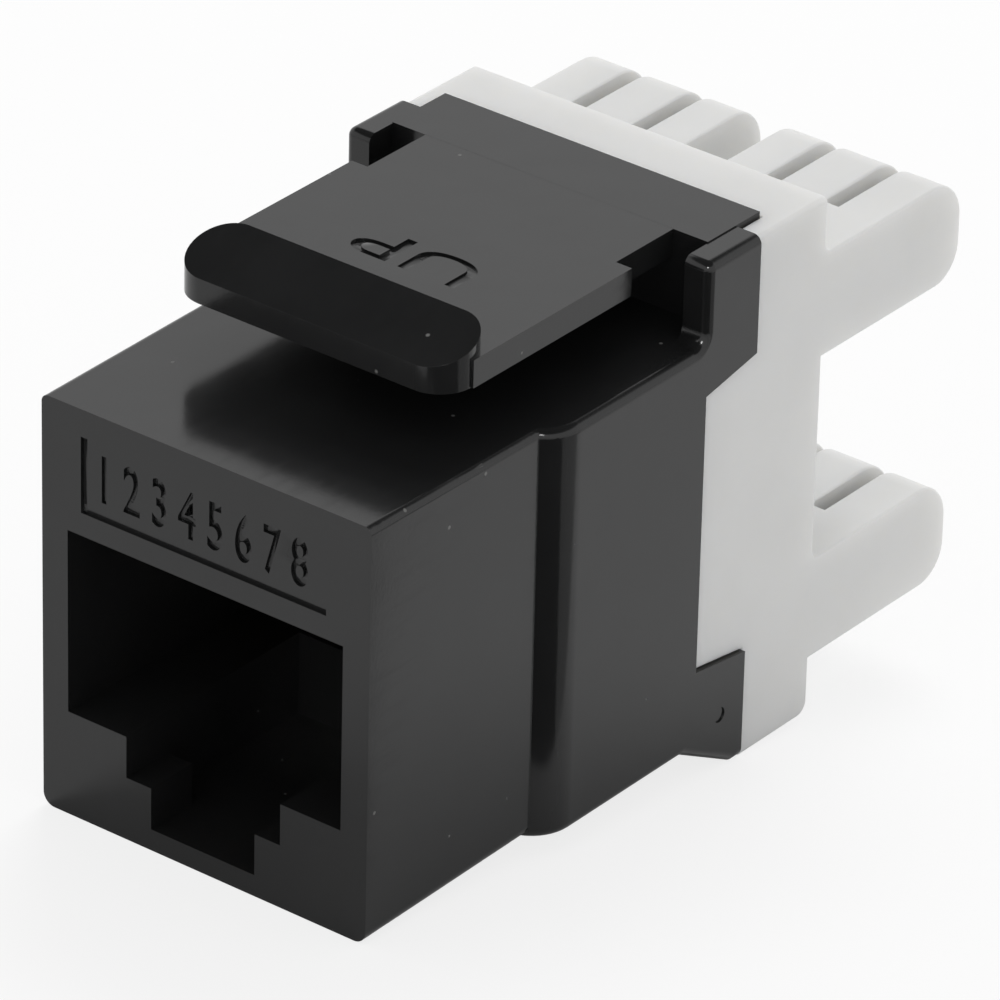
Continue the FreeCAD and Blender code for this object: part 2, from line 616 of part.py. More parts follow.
os.makedirs("parts", exist_ok=True)
for piece in pieces:
    piece.Shape.exportStep(f"parts/{piece.Label}.step")
    print(piece.Label, round(piece.Shape.Volume, 3))
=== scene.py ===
"""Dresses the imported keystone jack: moulded plastics, plated metals, engraved marks and a studio.

The jack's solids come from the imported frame. This script rounds the edges of the moulded
pieces, cuts the marks into them, gives each piece its finish, and sets floor, light and camera.
Positions are in metres in the row frame: X across the jack, Y from the plug port back, Z up.
"""

import logging
import math
from contextlib import contextmanager
from dataclasses import dataclass
from enum import Enum
from typing import Any, Iterable, Iterator, Mapping, Sequence

import bmesh
import bpy
import numpy as np
from mathutils import Matrix, Vector


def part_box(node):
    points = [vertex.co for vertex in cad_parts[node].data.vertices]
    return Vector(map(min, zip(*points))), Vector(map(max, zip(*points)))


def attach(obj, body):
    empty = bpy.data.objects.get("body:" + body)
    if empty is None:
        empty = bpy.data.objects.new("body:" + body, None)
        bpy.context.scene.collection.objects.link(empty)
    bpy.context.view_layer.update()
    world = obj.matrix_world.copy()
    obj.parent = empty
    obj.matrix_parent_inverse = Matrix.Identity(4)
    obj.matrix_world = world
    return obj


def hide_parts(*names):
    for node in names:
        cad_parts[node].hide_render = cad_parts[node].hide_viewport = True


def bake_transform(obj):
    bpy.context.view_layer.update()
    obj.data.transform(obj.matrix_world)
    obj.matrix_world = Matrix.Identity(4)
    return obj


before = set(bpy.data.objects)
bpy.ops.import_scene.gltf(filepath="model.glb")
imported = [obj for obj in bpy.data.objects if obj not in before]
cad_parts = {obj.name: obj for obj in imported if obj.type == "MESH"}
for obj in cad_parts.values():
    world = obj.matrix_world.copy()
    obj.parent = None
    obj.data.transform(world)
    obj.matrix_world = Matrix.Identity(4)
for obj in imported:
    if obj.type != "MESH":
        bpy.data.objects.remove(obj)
LOG = logging.getLogger("keystone_jack")
MM = 0.001
WHITE = (1.0, 1.0, 1.0, 1.0)

# A Mix node has several inputs called A and B: these are the two colours and their result.
MIX_COLOURS = (6, 7)
MIX_RESULT = 2

# Points closer than this are one point, and faces that turn by less than this are one flat area.
JOIN_REACH = 0.0004 * MM
FLAT_ANGLE = math.radians(0.3)

# Edges that turn by more than this are sharp, and get a bevel of so many strips.
SHARP_ANGLE = math.radians(35.0)
BEVEL_STRIPS = 2

Pair = tuple[float, float]
Triple = tuple[float, float, float]


class Body(Enum):
    """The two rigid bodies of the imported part."""

    JACK = "jack_body"
    LATCH = "latch_arm"


class Slot(Enum):
    """The record's material slots that the scene's own pieces use."""

    BLACK_PLASTIC = "black_plastic"
    PALE_PLASTIC = "pale_plastic"


# --- shader maths -----------------------------------------------------------------------------


class Signal:
    """A number that varies over a surface: a node's output socket with arithmetic on it."""

    def __init__(self, desk: "Desk", socket: bpy.types.NodeSocket) -> None:
        """Keeps the socket and the desk that its next nodes go on."""
        self.desk = desk
        self.socket = socket

    def _math(self, operation: str, *values: Any) -> "Signal":
        """Adds one Math node.

        Args:
            operation: the node's operation.
            values: its inputs, signals or numbers, in order.

        Returns:
            The node's result.
        """
        settings = {"operation": operation}
        node = self.desk.node("ShaderNodeMath", settings, dict(enumerate(values)))
        return Signal(self.desk, node.outputs[0])

    def __add__(self, other: Any) -> "Signal":
        """This plus other."""
        return self._math("ADD", self, other)

    __radd__ = __add__

    def __mul__(self, other: Any) -> "Signal":
        """This times other."""
        return self._math("MULTIPLY", self, other)

    __rmul__ = __mul__

    def __sub__(self, other: Any) -> "Signal":
        """This minus other."""
        return self._math("SUBTRACT", self, other)

    def __rsub__(self, other: Any) -> "Signal":
        """Other minus this."""
        return self._math("SUBTRACT", other, self)

    def above(self, low: float, high: float) -> "Signal":
        """A soft step: 0 below low, 1 above high, and an S-curve between them.

        Args:
            low: where it starts.
            high: where it is complete.

        Returns:
            The step.
        """
        settings = {"interpolation_type": "SMOOTHSTEP"}
        values = {"Value": self, "From Min": low, "From Max": high}
        node = self.desk.node("ShaderNodeMapRange", settings, values)
        return Signal(self.desk, node.outputs["Result"])


class Desk:
    """A node tree being filled: it adds nodes, sets their values and links them."""

    def __init__(self, tree: bpy.types.NodeTree) -> None:
        """Empties the tree and starts on it."""
        self.tree = tree
        tree.nodes.clear()

    def node(
        self,
        kind: str,
        settings: Mapping[str, Any] | None = None,
        values: Mapping[Any, Any] | None = None,
    ) -> bpy.types.Node:
        """Adds a node.

        Args:
            kind: the node's type.
            settings: its properties, set before its sockets.
            values: its input sockets by name or number, each a signal, a socket or a value.

        Returns:
            The new node.
        """
        node = self.tree.nodes.new(kind)
        for name, value in (settings or {}).items():
            setattr(node, name, value)
        for name, value in (values or {}).items():
            socket = node.inputs[name]
            if isinstance(value, Signal):
                value = value.socket
            if isinstance(value, bpy.types.NodeSocket):
                self.tree.links.new(value, socket)
            else:
                socket.default_value = value
        return node

    def place(self) -> bpy.types.NodeSocket:
        """The point on the surface in the object's own coordinates."""
        return self.node("ShaderNodeTexCoord").outputs["Object"]

    def noise(self, size: float, detail: float, stretch: Sequence[float] = (1, 1, 1)) -> Signal:
        """Cloudy noise between 0 and 1.

        Args:
            size: the width of its blobs, in metres.
            detail: how many finer layers it has.
            stretch: how many times wider the blobs are along X, Y and Z.

        Returns:
            The noise.
        """
        scale = tuple(1.0 / (size * factor) for factor in stretch)
        mapping = self.node("ShaderNodeMapping", {}, {"Vector": self.place(), "Scale": scale})
        values = {"Vector": mapping.outputs[0], "Scale": 1.0, "Detail": detail}
        return Signal(self, self.node("ShaderNodeTexNoise", {}, values).outputs["Fac"])

    def cells(self, size: float) -> Signal:
        """Distance to the nearest of many scattered points, in cell widths.

        Args:
            size: the mean distance between the points, in metres.

        Returns:
            The distance.
        """
        values = {"Vector": self.place(), "Scale": 1.0 / size}
        return Signal(self, self.node("ShaderNodeTexVoronoi", {}, values).outputs["Distance"])

    def mix(self, share: Any, first: Any, second: Any) -> bpy.types.NodeSocket:
        """Blends two colours.

        Args:
            share: how much of the second colour shows, 0 to 1.
            first: the colour at 0, or a socket that gives it.
            second: the colour at 1, or a socket that gives it.

        Returns:
            The blended colour's socket.
        """
        values = {"Factor": share}
        for number, colour in zip(MIX_COLOURS, (first, second)):
            linked = isinstance(colour, bpy.types.NodeSocket)
            values[number] = colour if linked else (*colour, 1.0)
        node = self.node("ShaderNodeMix", {"data_type": "RGBA"}, values)
        return node.outputs[MIX_RESULT]

    def bump(self, height: Signal, depth: float) -> bpy.types.NodeSocket:
        """The surface's direction after a fine relief.

        Args:
            height: the relief, 0 to 1.
            depth: how deep the relief is, in metres.

        Returns:
            The normal's socket.
        """
        values = {"Height": height, "Distance": depth}
        return self.node("ShaderNodeBump", {}, values).outputs["Normal"]

    def sight(self) -> tuple[Signal, Signal]:
        """How a ray comes to what it meets.

        Returns:
            1 where the camera sees it straight, and 1 where it shows in a mirror or through glass.
        """
        path = self.node("ShaderNodeLightPath")
        seen = Signal(self, path.outputs["Is Camera Ray"])
        glossy = Signal(self, path.outputs["Is Glossy Ray"])
        return seen, glossy + Signal(self, path.outputs["Is Transmission Ray"])

    def close(self, shader: bpy.types.Node, output: str = "ShaderNodeOutputMaterial") -> None:
        """Ends the tree with the output node that shows a shader."""
        self.node(output, {}, {"Surface": shader.outputs[0]})


def new_material(name: str) -> tuple[bpy.types.Material, Desk]:
    """Starts a material.

    Args:
        name: its name.

    Returns:
        The material, and the desk that its nodes go on.
    """
    material = bpy.data.materials.new(name)
    material.use_nodes = True
    LOG.info("finish %s", name)
    return material, Desk(material.node_tree)


def moulded_relief(desk: Desk, grain: Pair, ripple: Pair) -> bpy.types.NodeSocket:
    """A moulded surface's relief: the grain's noise plus the ripple's, each times its depth.

    Args:
        desk: the material's desk.
        grain: the width and the depth of the fine grain, in metres.
        ripple: the width and the depth of the broad ripple, in metres.

    Returns:
        The normal's socket.
    """
    fine = desk.noise(grain[0], 2.0) * (grain[1] / ripple[1])
    return desk.bump(fine + desk.noise(ripple[0], 1.0), ripple[1])


# --- finishes ---------------------------------------------------------------------------------
#
# A pattern's size is the width of its blobs, and its stretch how many times wider they are along
# X, Y and Z. Its step is where it starts to show and where it shows in full, its share how much
# of the other colour it brings, and its rough what it adds to the roughness. Grain and ripple
# each give a width and a depth.


@dataclass(frozen=True)
class BlackPlastic:
    """Smooth black moulded plastic with a faint grain, wipe marks and a few specks of dust."""

    name: str = "black_plastic"
    base: Triple = (0.0128, 0.013, 0.0132)
    cloud_size: float = 3.0 * MM
    cloud_step: Pair = (0.3, 0.8)
    cloud_share: float = 0.5
    cloud_tone: float = 1.35
    dusty: Triple = (0.16, 0.16, 0.155)
    speck_spacing: float = 2.1 * MM
    speck_step: Pair = (0.027, 0.045)
    speck_share: float = 0.8
    speck_rough: float = 0.3
    wipe_size: float = 0.35 * MM
    wipe_stretch: Triple = (1, 7, 1)
    wipe_step: Pair = (0.45, 0.8)
    wipe_rough: float = 0.05
    rough: float = 0.10
    cloud_rough: float = 0.07
    ior: float = 1.45
    grain: Pair = (0.12 * MM, 0.0012 * MM)
    ripple: Pair = (2.6 * MM, 0.010 * MM)

    def make(self) -> bpy.types.Material:
        """Builds the material.

        Returns:
            The material.
        """
        material, desk = new_material(self.name)
        cloud = desk.noise(self.cloud_size, 3.0)
        specks = 1 - desk.cells(self.speck_spacing).above(*self.speck_step)
        wipes = desk.noise(self.wipe_size, 4.0, self.wipe_stretch).above(*self.wipe_step)
        cloudy = [tone * self.cloud_tone for tone in self.base]
        colour = desk.mix(cloud.above(*self.cloud_step) * self.cloud_share, self.base, cloudy)
        rough = self.rough + cloud * self.cloud_rough
        values = {
            "Base Color": desk.mix(specks * self.speck_share, colour, self.dusty),
            "Roughness": rough + wipes * self.wipe_rough + specks * self.speck_rough,
            "Normal": moulded_relief(desk, self.grain, self.ripple),
            "IOR": self.ior,
        }
        desk.close(desk.node("ShaderNodeBsdfPrincipled", {}, values))
        return material


@dataclass(frozen=True)
class PalePlastic:
    """Pale grey-white moulded plastic, nearly matt, with soft mottling and a fine grain."""

    name: str = "pale_plastic"
    base: Triple = (0.765, 0.765, 0.756)
    shade: Triple = (0.715, 0.715, 0.705)
    cloud_size: float = 4.0 * MM
    cloud_step: Pair = (0.35, 0.75)
    cloud_share: float = 0.45
    flow_size: float = 1.1 * MM
    flow_stretch: Triple = (1, 5, 1)
    flow_share: float = 0.12
    rough: float = 0.38
    cloud_rough: float = 0.12
    ior: float = 1.49
    milkiness: float = 0.5
    light_depth: float = 1.8 * MM
    light_depths: Triple = (1.0, 0.95, 0.85)
    grain: Pair = (0.10 * MM, 0.0015 * MM)
    ripple: Pair = (2.0 * MM, 0.012 * MM)

    def make(self) -> bpy.types.Material:
        """Builds the material.

        Returns:
            The material.
        """
        material, desk = new_material(self.name)
        cloud = desk.noise(self.cloud_size, 3.0)
        flow = desk.noise(self.flow_size, 3.0, self.flow_stretch)
        share = cloud.above(*self.cloud_step) * self.cloud_share + flow * self.flow_share
        values = {
            "Base Color": desk.mix(share, self.base, self.shade),
            "Roughness": self.rough + cloud * self.cloud_rough,
            "Normal": moulded_relief(desk, self.grain, self.ripple),
            "IOR": self.ior,
            "Subsurface Weight": self.milkiness,
            "Subsurface Scale": self.light_depth,
            "Subsurface Radius": self.light_depths,
        }
        desk.close(desk.node("ShaderNodeBsdfPrincipled", {}, values))
        return material


@dataclass(frozen=True)
class Plating:
    """Drawn or stamped metal under a thin plating, with fine lines along its length."""

    name: str
    base: Triple
    worn: Triple
    rough: float
    wear_size: float = 0.9 * MM
    wear_step: Pair = (0.45, 0.8)
    wear_share: float = 0.6
    line_size: float = 0.02 * MM
    line_stretch: Triple = (1, 40, 1)
    line_depth: float = 0.001 * MM
    line_rough: float = 0.12

    def make(self) -> bpy.types.Material:
        """Builds the material.

        Returns:
            The material.
        """
        material, desk = new_material(self.name)
        lines = desk.noise(self.line_size, 2.0, self.line_stretch)
        wear = desk.noise(self.wear_size, 3.0).above(*self.wear_step) * self.wear_share
        values = {
            "Base Color": desk.mix(wear, self.base, self.worn),
            "Roughness": self.rough + lines * self.line_rough,
            "Normal": desk.bump(lines, self.line_depth),
            "Metallic": 1.0,
        }
        desk.close(desk.node("ShaderNodeBsdfPrincipled", {}, values))
        return material


GOLD = Plating("gold_plate", base=(0.85, 0.60, 0.22), worn=(0.75, 0.50, 0.2), rough=0.18)
TIN = Plating("tin_plate", base=(0.72, 0.72, 0.70), worn=(0.58, 0.58, 0.57), rough=0.30)


@dataclass(frozen=True)
class BoardLacquer:
    """Green solder-resist lacquer over the weave of a circuit board."""

    name: str = "board_lacquer"
    base: Triple = (0.012, 0.12, 0.045)
    weave_light: Triple = (0.03, 0.19, 0.08)
    thread: float = 0.25 * MM
    warp_stretch: Triple = (8, 1, 1)
    weft_stretch: Triple = (1, 1, 8)
    weave_step: Pair = (0.15, 0.4)
    weave_depth: float = 0.004 * MM
    rough: float = 0.2
    weave_rough: float = 0.3

    def make(self) -> bpy.types.Material:
        """Builds the material.

        Returns:
            The material.
        """
        material, desk = new_material(self.name)
        warp = desk.noise(self.thread, 1.0, self.warp_stretch)
        weave = warp * desk.noise(self.thread, 1.0, self.weft_stretch)
        values = {
            "Base Color": desk.mix(weave.above(*self.weave_step), self.base, self.weave_light),
            "Roughness": self.rough + weave * self.weave_rough,
            "Normal": desk.bump(weave, self.weave_depth),
        }
        desk.close(desk.node("ShaderNodeBsdfPrincipled", {}, values))
        return material


@dataclass(frozen=True)
class Paper:
    """The floor's seamless white paper, which the camera and mirror-like pieces see as part of a
    white background, with the jack's shadow left on it."""

    name: str = "paper"
    base: Triple = (0.97, 0.97, 0.97)
    fibre_size: float = 1.5 * MM
    fibre_tone: float = 0.985
    rough: float = 0.9
    fibre_rough: float = 0.05
    seen_white: float = 0.8
    mirrored_white: float = 0.05

    def make(self) -> bpy.types.Material:
        """Builds the material.

        Returns:
            The material.
        """
        material, desk = new_material(self.name)
        fibres = desk.noise(self.fibre_size, 4.0)
        darker = [tone * self.fibre_tone for tone in self.base]
        values = {
            "Base Color": desk.mix(fibres, self.base, darker),
            "Roughness": self.rough + fibres * self.fibre_rough,
            "Specular IOR Level": 0.0,
        }
        sheet = desk.node("ShaderNodeBsdfPrincipled", {}, values)
        white = desk.node("ShaderNodeEmission", {}, {"Color": WHITE, "Strength": 1.0})
        seen, mirrored = desk.sight()
        share = seen * self.seen_white + mirrored * self.mirrored_white
        shaders = {0: share, 1: sheet.outputs[0], 2: white.outputs[0]}
        desk.close(desk.node("ShaderNodeMixShader", {}, shaders))
        return material


@dataclass(frozen=True)
class PaintedReflectionCard:
    """A card that glows one even tone, however it is lit: a painted reflection of that tone on what
    mirrors it.
    """

    name: str
    tone: float

    def make(self) -> bpy.types.Material:
        """Builds the material.

        Returns:
            The material.
        """
        material, desk = new_material(self.name)
        tone = (self.tone, self.tone, self.tone, 1.0)
        desk.close(desk.node("ShaderNodeEmission", {}, {"Color": tone, "Strength": 1.0}))
        return material


# --- mesh work --------------------------------------------------------------------------------


def new_object(name: str, mesh: bpy.types.Mesh) -> bpy.types.Object:
    """Puts a mesh into the scene as an object at the origin.

    Args:
        name: the object's name.
        mesh: its mesh.

    Returns:
        The object.
    """
    made = bpy.data.objects.new(name, mesh)
    bpy.context.scene.collection.objects.link(made)
    return made


def final_mesh(thing: bpy.types.Object) -> bpy.types.Mesh:
    """Works out the mesh that an object shows, with its modifiers or its curve's depth in it.

    Args:
        thing: the object.

    Returns:
        A new mesh.
    """
    bpy.context.view_layer.update()
    shown = thing.evaluated_get(bpy.context.evaluated_depsgraph_get())
    return bpy.data.meshes.new_from_object(shown)


def points_of(mesh: bpy.types.Mesh) -> np.ndarray:
    """Reads a mesh's points.

    Args:
        mesh: the mesh.

    Returns:
        One row of X, Y and Z for each point.
    """
    spots = np.empty(len(mesh.vertices) * 3)
    mesh.vertices.foreach_get("co", spots)
    return spots.reshape(-1, 3)


@contextmanager
def editing(mesh: bpy.types.Mesh) -> Iterator[bmesh.types.BMesh]:
    """Opens a mesh for editing, and writes it back at the end.

    Args:
        mesh: the mesh.

    Yields:
        The mesh in the form that is edited.
    """
    work = bmesh.new()
    work.from_mesh(mesh)
    yield work
    work.to_mesh(mesh)
    work.free()


def make_whole(mesh: bpy.types.Mesh) -> None:
    """Joins a mesh's points that lie on one spot, and makes each of its flat areas one face."""
    with editing(mesh) as work:
        bmesh.ops.remove_doubles(work, verts=work.verts, dist=JOIN_REACH)
        bmesh.ops.dissolve_limit(
            work, angle_limit=FLAT_ANGLE, verts=work.verts, edges=work.edges
        )


def merged_copy(node: str, name: str) -> bpy.types.Object:
    """Copies a CAD node's mesh with its triangles joined up and its flat areas made whole.

    Args:
        node: the node's name.
        name: the copy's name.

    Returns:
        The copy.
    """
    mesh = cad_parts[node].data.copy()
    mesh.name = name
    make_whole(mesh)
    return new_object(name, mesh)


def boxes(name: str, corners: Iterable[tuple[Triple, Triple]]) -> bpy.types.Object:
    """Makes closed boxes: corner k of a box takes low or high along each axis by its three bits.

    Args:
        name: the object's name.
        corners: each box's lowest and highest corner, in metres.

    Returns:
        One object that holds all the boxes.
    """
    pairs = np.array(list(corners), dtype=float)
    bits = (np.arange(8)[:, None] >> np.arange(3)) & 1
    points = np.where(bits[None], pairs[:, 1, None, :], pairs[:, 0, None, :]).reshape(-1, 3)
    sides = np.array(
        [(0, 2, 3, 1), (4, 5, 7, 6), (0, 1, 5, 4), (2, 6, 7, 3), (0, 4, 6, 2), (1, 3, 7, 5)]
    )
    faces = (sides[None] + 8 * np.arange(len(pairs))[:, None, None]).reshape(-1, 4)
    mesh = bpy.data.meshes.new(name)
    mesh.from_pydata(points.tolist(), [], faces.tolist())
    return new_object(name, mesh)


def lettering(
    name: str, words: str, size: Pair, depth: float, weight: float, place: Matrix
) -> bpy.types.Object:
    """Makes solid lettering, centred on its place, that reaches depth above and below it.

    Args:
        name: the object's name.
        words: what it spells.
        size: its whole width, and the height of its capitals or digits.
        depth: how far it reaches each way along the letters' own normal.
        weight: how much the strokes are thickened, as a share of the font's height.
        place: turns and moves it from the XY plane to where it goes.

    Returns:
        The lettering as a closed mesh.
    """
    curve = bpy.data.curves.new(name, "FONT")
    curve.body = words
    curve.extrude = 1.0
    curve.offset = weight
    holder = new_object(name + "_curve", curve)
    mesh = final_mesh(holder)
    bpy.data.objects.remove(holder)
    mesh.name = name
    spots = points_of(mesh)
    low, high = spots.min(axis=0), spots.max(axis=0)
    spots = (spots - (low + high) / 2) / (high - low) * np.array((*size, 2 * depth))
    turned = spots @ np.array(place.to_3x3()).T + np.array(place.translation)
    mesh.vertices.foreach_set("co", turned.ravel())
    with editing(mesh) as work:
        bmesh.ops.remove_doubles(work, verts=work.verts, dist=JOIN_REACH)
        bmesh.ops.recalc_face_normals(work, faces=work.faces)
    mesh.materials.clear()
    return new_object(name, mesh)


def carve(piece: bpy.types.Object, cutters: Sequence[bpy.types.Object]) -> None:
    """Cuts closed shapes out of a piece for good, and removes them.

    Args:
        piece: the piece that is cut.
        cutters: the shapes that are taken out of it.
    """
    for cutter in cutters:
        cut = piece.modifiers.new("cut", "BOOLEAN")
        cut.operation = "DIFFERENCE"
        cut.solver = "EXACT"
        cut.use_self = True
        cut.object = cutter
        mesh = final_mesh(piece)
        piece.modifiers.clear()
        piece.data = mesh
        bpy.data.objects.remove(cutter)


def soften(piece: bpy.types.Object, width: float) -> None:
    """Rounds a piece's sharp edges with a live bevel, and shades its curved faces smoothly.

    Args:
        piece: the piece.
        width: the bevel's width.
    """
    mesh = piece.data
    mesh.shade_smooth()
    mesh.set_sharp_from_angle(angle=SHARP_ANGLE)
    bevel = piece.modifiers.new("edge_round", "BEVEL")
    bevel.width = width
    bevel.segments = BEVEL_STRIPS
    bevel.limit_method = "ANGLE"
    bevel.angle_limit = SHARP_ANGLE
    bevel.use_clamp_overlap = True
    flat = piece.modifiers.new("flat_areas", "WEIGHTED_NORMAL")
    flat.mode = "FACE_AREA"
    flat.keep_sharp = True


def dress(piece: bpy.types.Object, material: bpy.types.Material) -> None:
    """Gives every face of a piece one material.

    Args:
        piece: the piece.
        material: the material.
    """
    if piece.data.materials:
        for index in range(len(piece.data.materials)):
            piece.data.materials[index] = material
    else:
        piece.data.materials.append(material)


# --- the jack ---------------------------------------------------------------------------------


@dataclass
class Housing:
    """The black housing, with a corner line and contact numbers engraved over its port."""

    frame_left: float = -5.49 * MM
    frame_right: float = 5.35 * MM
    frame_top: float = 15.28 * MM
    frame_low: float = 12.3 * MM
    line: float = 0.3 * MM
    depth: float = 0.16 * MM
    cutter_reach: float = 1.0 * MM  # how far the cutters stand out in front of the face
    digits: str = "1 2 3 4 5 6 7 8"
    digits_size: Pair = (9.1 * MM, 1.9 * MM)
    digits_middle: Pair = (0.0, 13.95 * MM)
    weight: float = 0.015
    edge: float = 0.07 * MM

    def marks(self) -> list[bpy.types.Object]:
        """The shapes that are cut into the front face.

        Returns:
            The corner line's two bars, and the digits.
        """
        corner = (self.frame_left, -self.cutter_reach, self.frame_low)
        upright_end = (self.frame_left + self.line, self.depth, self.frame_top)
        level_end = (self.frame_right, self.depth, self.frame_low + self.line)
        bars = boxes("corner_line", [(corner, upright_end), (corner, level_end)])
        stand = Matrix.Rotation(math.radians(90), 4, "X")
        stand.translation = Vector((self.digits_middle[0], 0.0, self.digits_middle[1]))
        digits = lettering("digits", self.digits, self.digits_size, self.depth, self.weight, stand)
        return [bars, digits]

    def build(self, finish: bpy.types.Material) -> bpy.types.Object:
        """Makes the engraved housing, which stands for the CAD node.

        Args:
            finish: its material.

        Returns:
            The piece.
        """
        piece = merged_copy("housing", "housing_engraved")
        carve(piece, self.marks())
        soften(piece, self.edge)
        dress(piece, finish)
        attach(piece, Body.JACK.value)
        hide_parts("housing")
        return piece


@dataclass
class Latch:
    """The spring latch: its neck runs on into the housing, in strips where it would bend."""

    bend_start: float = 16.2 * MM
    root: float = 18.66 * MM
    bend_strips: int = 10
    word: str = "UP"
    word_size: Pair = (4.85 * MM, 1.85 * MM)
    word_middle: Pair = (0.03 * MM, 11.2 * MM)
    weight: float = 0.0
    depth: float = 0.12 * MM
    edge: float = 0.07 * MM
    neck_top: float = 19.6 * MM
    slack: float = 0.01 * MM  # points this far in front of the half round still belong to it

    @property
    def neck_under(self) -> float:
        """The neck's underside, which is the latch's lowest level."""
        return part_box("latch")[0].z

    @property
    def neck_middle(self) -> float:
        """The level halfway between the neck's underside and its top."""
        return (self.neck_top + self.neck_under) / 2

    def straighten(self, mesh: bpy.types.Mesh) -> None:
        """Runs the neck's half-round end out square to the root: each of its points goes to the
        root's plane, and up to the neck's top or down to its underside, whichever is nearer.

        Args:
            mesh: the latch's mesh.
        """
        spots = points_of(mesh)
        radius = (self.neck_top - self.neck_under) / 2
        ends = spots[:, 1] > spots[:, 1].max() - radius - self.slack
        upper = spots[ends, 2] > self.neck_middle
        spots[ends, 2] = np.where(upper, self.neck_top, self.neck_under)
        spots[ends, 1] = self.root
        mesh.vertices.foreach_set("co", spots.ravel())
        make_whole(mesh)

    def slice_neck(self, mesh: bpy.types.Mesh) -> None:
        """Divides the neck into strips across its length, so that it bends smoothly.

        Args:
            mesh: the latch's mesh.
        """
        with editing(mesh) as work:
            for level in np.linspace(self.bend_start, self.root, self.bend_strips + 1)[:-1]:
                parts = work.verts[:] + work.edges[:] + work.faces[:]
                bmesh.ops.bisect_plane(
                    work, geom=parts, plane_co=(0, level, 0), plane_no=(0, 1, 0)
                )

    def build(self, finish: bpy.types.Material) -> bpy.types.Object:
        """Makes the latch in one with its root, which stands for the CAD node.

        Args:
            finish: its material.

        Returns:
            The piece.
        """
        piece = merged_copy("latch", "latch_flexing")
        self.straighten(piece.data)
        lie = Matrix.Rotation(math.radians(180), 4, "Z")
        lie.translation = Vector((*self.word_middle, self.neck_top))
        carve(piece, [lettering("word", self.word, self.word_size, self.depth, self.weight, lie)])
        self.slice_neck(piece.data)
        soften(piece, self.edge)
        dress(piece, finish)
        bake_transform(piece)
        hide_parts("latch")
        return piece


@dataclass
class WireBlock:
    """The pale block with its rows of fins, its edges slightly rounded."""

    edge: float = 0.13 * MM

    def build(self, finish: bpy.types.Material) -> bpy.types.Object:
        """Makes the block, which stands for the CAD node.

        Args:
            finish: its material.

        Returns:
            The piece.
        """
        piece = merged_copy("idc_block", "wire_block_softened")
        soften(piece, self.edge)
        dress(piece, finish)
        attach(piece, Body.JACK.value)
        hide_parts("idc_block")
        return piece


@dataclass
class Inside:
    """The metal and the board inside the jack, which keep their CAD shapes."""

    wire_prefix: str = "contact_wire_"
    blade_prefix: str = "idc_contact_"
    contacts: int = 8

    def dress(self, carrier: bpy.types.Material) -> None:
        """Gives the inner pieces their finishes.

        Args:
            carrier: the contact carrier's plastic.
        """
        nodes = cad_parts
        wire, blade = GOLD.make(), TIN.make()
        for number in range(1, self.contacts + 1):
            dress(nodes[f"{self.wire_prefix}{number}"], wire)
            dress(nodes[f"{self.blade_prefix}{number}"], blade)
        dress(nodes["circuit_board"], BoardLacquer().make())
        dress(nodes["contact_carrier"], carrier)


# --- studio -----------------------------------------------------------------------------------


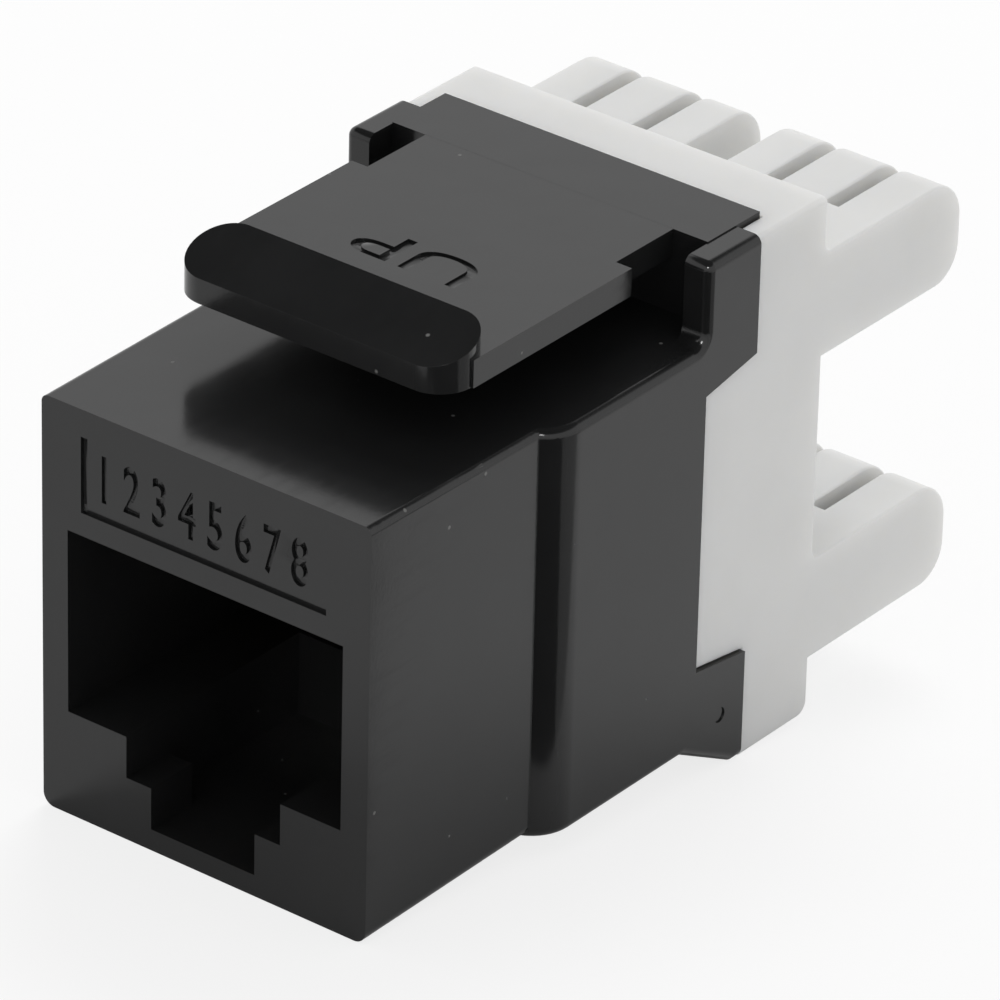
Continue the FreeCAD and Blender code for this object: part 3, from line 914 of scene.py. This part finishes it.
@dataclass
class Studio:
    """A white paper floor, a bright room whose ceiling is dark, and soft lamps."""

    front_rest: Pair = (0.0, 0.0)  # Y and Z of the front edge that the jack stands on
    rear_rest: Pair = (19.8 * MM, -1.5 * MM)  # and of the rear one
    floor_size: float = 3.0
    floor_drop: float = 0.02 * MM
    ambient: float = 0.61
    ceiling_step: Pair = (0.60, 0.74)  # the ray's upward part where the ceiling starts and is full
    ceiling_light: float = 0.04
    key_size: float = 0.38
    key_place: Triple = (-0.22, 0.48, 0.62)
    key_power: float = 2.6
    catch_size: float = 0.18
    catch_place: Triple = (0.30, -0.42, 0.44)
    catch_power: float = 1.8
    lamp_aim: Triple = (0.0, 15.0 * MM, 8.0 * MM)
    # glow of the two cards: painted dark and grey reflections on the black moulding's side and
    # shoulder
    dark_reflection_tone: float = 0.0
    grey_reflection_tone: float = 0.4
    side_line: Pair = (7.9 * MM, 0.3 * MM)
    side_slope: float = 1.21
    card_level: float = 9.4 * MM
    card_reach: float = 60.0 * MM
    card_lift: float = 0.02 * MM

    def lay(self, name: str, corners: Sequence[Pair], lift: float) -> bpy.types.Object:
        """Makes a flat sheet on the plane through the two edges that the jack rests on.

        Args:
            name: the sheet's name.
            corners: its corners' X and Y, in order, seen from above.
            lift: how far above that plane it lies.

        Returns:
            The sheet.
        """
        (y0, z0), (y1, z1) = self.front_rest, self.rear_rest
        slope = (z1 - z0) / (y1 - y0)
        flat = np.array(corners, dtype=float)
        points = np.column_stack([flat, z0 + lift + slope * (flat[:, 1] - y0)])
        mesh = bpy.data.meshes.new(name)
        mesh.from_pydata(points.tolist(), [], [tuple(range(len(flat)))])
        sheet = new_object(name, mesh)
        return sheet

    def floor(self, paper: bpy.types.Material) -> None:
        """Lays the paper under the jack.

        Args:
            paper: its material.
        """
        reach = self.floor_size / 2
        square = ((-reach, -reach), (reach, -reach), (reach, reach), (-reach, reach))
        dress(self.lay("floor", square, -self.floor_drop), paper)

    def painted_reflection_cards(self) -> None:
        """Lays a black and a grey card on the paper beside the jack's right side. They glow their
        tone however they are lit, and only mirror-like reflections show them, so they paint dark
        and grey reflections on the black moulding's right side and shoulder. Their inner edge
        starts at the point side_line and goes back by side_slope, Y over X. The black card ends and
        the grey one starts where that edge's Y is card_level."""
        (x0, y0), far = self.side_line, self.card_reach
        level = self.card_level
        bend = x0 + (level - y0) / self.side_slope
        end = y0 + (far - x0) * self.side_slope
        black = ((x0, y0), (x0, -far), (far, -far), (far, level), (bend, level))
        grey = ((bend, level), (far, level), (far, end))
        painted_reflection_cards = (("painted_dark_reflection_card", self.dark_reflection_tone, black), ("painted_grey_reflection_card", self.grey_reflection_tone, grey))
        for name, tone, corners in painted_reflection_cards:
            card = self.lay(name, corners, self.card_lift)
            dress(card, PaintedReflectionCard(name, tone).make())
            # only mirror-like reflections see the card, so it is a painted reflection
            card.visible_camera = False
            card.visible_diffuse = False
            card.visible_transmission = False
            card.visible_shadow = False

    def room(self) -> None:
        """Sets the world: rays that show the room see white walls and a dark ceiling, where white
        falls off as an S-curve of the ray's upward part, and all others see one even grey."""
        world = bpy.data.worlds.new("room")
        bpy.context.scene.world = world
        world.use_nodes = True
        desk = Desk(world.node_tree)
        ray = desk.node("ShaderNodeTexCoord").outputs["Generated"]
        parts = desk.node("ShaderNodeSeparateXYZ", {}, {"Vector": ray})
        upward = Signal(desk, parts.outputs["Z"])
        seen, mirrored = desk.sight()
        walls = 1 - upward.above(*self.ceiling_step) * (1 - self.ceiling_light)
        others = 1 - seen - mirrored
        strength = seen + mirrored * walls + others * self.ambient
        values = {"Color": WHITE, "Strength": strength}
        desk.close(desk.node("ShaderNodeBackground", {}, values), "ShaderNodeOutputWorld")

    def lamp(self, name: str, size: float, power: float, spot: Triple) -> bpy.types.Object:
        """Hangs one square lamp and aims it at the jack.

        Args:
            name: the lamp's name.
            size: the length of its side, in metres.
            power: its power, in watts.
            spot: where it hangs.

        Returns:
            The lamp.
        """
        light = bpy.data.lights.new(name, "AREA")
        light.shape = "SQUARE"
        light.size = size
        light.energy = power
        lamp = bpy.data.objects.new(name, light)
        bpy.context.scene.collection.objects.link(lamp)
        lamp.location = Vector(spot)
        back = Vector(spot) - Vector(self.lamp_aim)
        lamp.rotation_euler = back.to_track_quat("Z", "Y").to_euler()
        return lamp

    def lamps(self) -> None:
        """Hangs a soft key lamp behind the jack, too soft to mirror, and a lamp that only leaves a
        point of light on rounded corners."""
        self.lamp("key", self.key_size, self.key_power, self.key_place).visible_glossy = False
        catch = self.lamp("catch_light", self.catch_size, self.catch_power, self.catch_place)
        catch.visible_diffuse = False


@dataclass
class Viewpoint:
    """The camera: a long lens, above the front right corner, turned slightly about its axis."""

    azimuth: float = 37.639
    elevation: float = 29.389
    roll: float = 1.393
    lens: float = 313.513
    sensor: float = 36.0
    distance: float = 306.84 * MM
    aim: Triple = (0.0, 14.0 * MM, 8.0 * MM)
    right_of_aim: float = 1.445 * MM
    above_aim: float = 0.701 * MM
    clip: Pair = (0.01, 20.0)

    def place(self) -> bpy.types.Object:
        """Sets up the camera: it looks along its own -Z from the aim, moved across by the offsets.

        Returns:
            The camera.
        """
        a, e, r = (math.radians(v) for v in (self.azimuth, self.elevation, self.roll))
        back = Vector((math.sin(a) * math.cos(e), -math.cos(a) * math.cos(e), math.sin(e)))
        level = Vector((math.cos(a), math.sin(a), 0.0))
        upright = back.cross(level)
        right = math.cos(r) * level + math.sin(r) * upright
        up = math.cos(r) * upright - math.sin(r) * level
        data = bpy.data.cameras.new("camera")
        data.lens = self.lens
        data.sensor_width = self.sensor
        data.clip_start, data.clip_end = self.clip
        camera = bpy.data.objects.new("camera", data)
        bpy.context.scene.collection.objects.link(camera)
        turn = Matrix((right, up, back)).transposed().to_4x4()
        spot = Vector(self.aim) + right * self.right_of_aim + up * self.above_aim
        camera.matrix_world = Matrix.Translation(spot + back * self.distance) @ turn
        bpy.context.scene.camera = camera
        return camera


def main() -> None:
    """Builds the dressed jack and its studio."""
    logging.basicConfig(level=logging.INFO)
    bpy.context.scene.view_settings.view_transform = "Standard"
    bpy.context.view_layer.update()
    black = BlackPlastic().make()
    pale = PalePlastic().make()
    for piece in (Housing().build(black), Latch().build(black), WireBlock().build(pale)):
        LOG.info("piece %s: %d faces", piece.name, len(piece.data.polygons))
    Inside().dress(black)
    studio = Studio()
    studio.floor(Paper().make())
    studio.painted_reflection_cards()
    studio.room()
    studio.lamps()
    Viewpoint().place()


if __name__ == "__main__":
    main()
